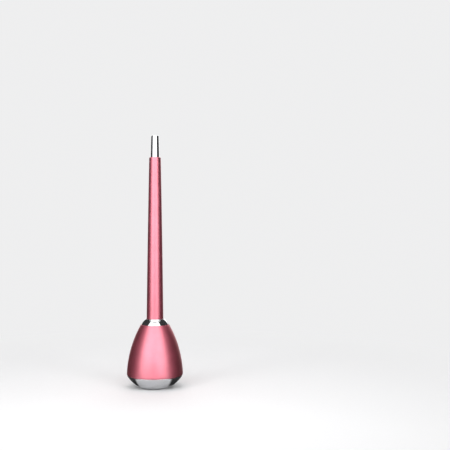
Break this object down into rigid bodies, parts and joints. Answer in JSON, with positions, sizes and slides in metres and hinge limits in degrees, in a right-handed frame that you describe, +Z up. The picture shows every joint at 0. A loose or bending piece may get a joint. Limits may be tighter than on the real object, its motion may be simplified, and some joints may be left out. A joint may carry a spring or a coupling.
{
  "type": "pen stand",
  "caption": "Weighted bell-shaped desk stand with a polished collar and domed base, holding a slim upright fountain pen that lifts out, turns freely and unscrews at the barrel.",
  "frame": {"origin": "middle of the foot pad's lower face, on the surface that the stand rests on", "axes": "+Z up along the axis that the stand and the pen share; the nib's upper face looks towards -Y"},
  "size_m": [0.042, 0.042, 0.1885],
  "materials": {
    "pink_anodised": "satin, dyed anodised",
    "chrome_plate": "polished plate",
    "nib_steel": "polished, lightly brushed",
    "black_plastic": "moulded, satin",
    "nylon": "moulded, matt",
    "clear_plastic": "clear, glossy",
    "rubber": "matt",
    "brass": "turned",
    "bare_aluminium": "turned",
    "ballast_iron": "as cast"
  },
  "bodies": {
    "stand": {"bell_shell": "pink_anodised", "collar": "chrome_plate", "well_tube": "bare_aluminium", "well_liner": "black_plastic", "ballast": "ballast_iron", "base_dome": "chrome_plate", "base_nut": "brass", "foot_pad": "rubber"},
    "seat": {"seat_ring": "nylon"},
    "pen_front": {"joint_ring": "chrome_plate", "grip": "chrome_plate", "section_core": "black_plastic", "nib_housing": "black_plastic", "nib": "nib_steel", "feed": "black_plastic", "converter_tube": "clear_plastic", "rod_guide": "nylon", "converter_sleeve": "chrome_plate"},
    "seal": {"barrel_seal": "rubber"},
    "barrel": {"barrel": "pink_anodised", "finial": "chrome_plate", "barrel_bush": "brass"},
    "knob": {"converter_knob": "black_plastic"},
    "piston": {"piston_rod": "black_plastic", "piston_head": "rubber"}
  },
  "joints": [
    {"name": "pen_turn", "type": "hinge", "parent": "stand", "child": "seat", "pos_m": [0, 0, 0.0503], "axis": [0, 0, 1], "continuous": true},
    {"name": "pen_lift", "type": "slide", "parent": "seat", "child": "pen_front", "axis": [0, 0, 1], "range_m": [0, 0.0585]},
    {"name": "barrel_turn", "type": "hinge", "parent": "pen_front", "child": "seal", "pos_m": [0, 0, 0.0503], "axis": [0, 0, 1], "range_deg": [0, 2160]},
    {"name": "barrel_rise", "type": "slide", "parent": "seal", "child": "barrel", "axis": [0, 0, 1], "range_m": [0, 0.0045]},
    {"name": "knob_turn", "type": "hinge", "parent": "pen_front", "child": "knob", "pos_m": [0, 0, 0.1], "axis": [0, 0, -1], "range_deg": [0, 2160]},
    {"name": "piston_slide", "type": "slide", "parent": "pen_front", "child": "piston", "axis": [0, 0, 1], "range_m": [0, 0.024]}
  ],
  "couplings": [
    {"joint": "barrel_turn", "follows": "barrel_rise", "rad_per_m": 8377.6},
    {"joint": "knob_turn", "follows": "piston_slide", "rad_per_m": 1570.8}
  ]
}
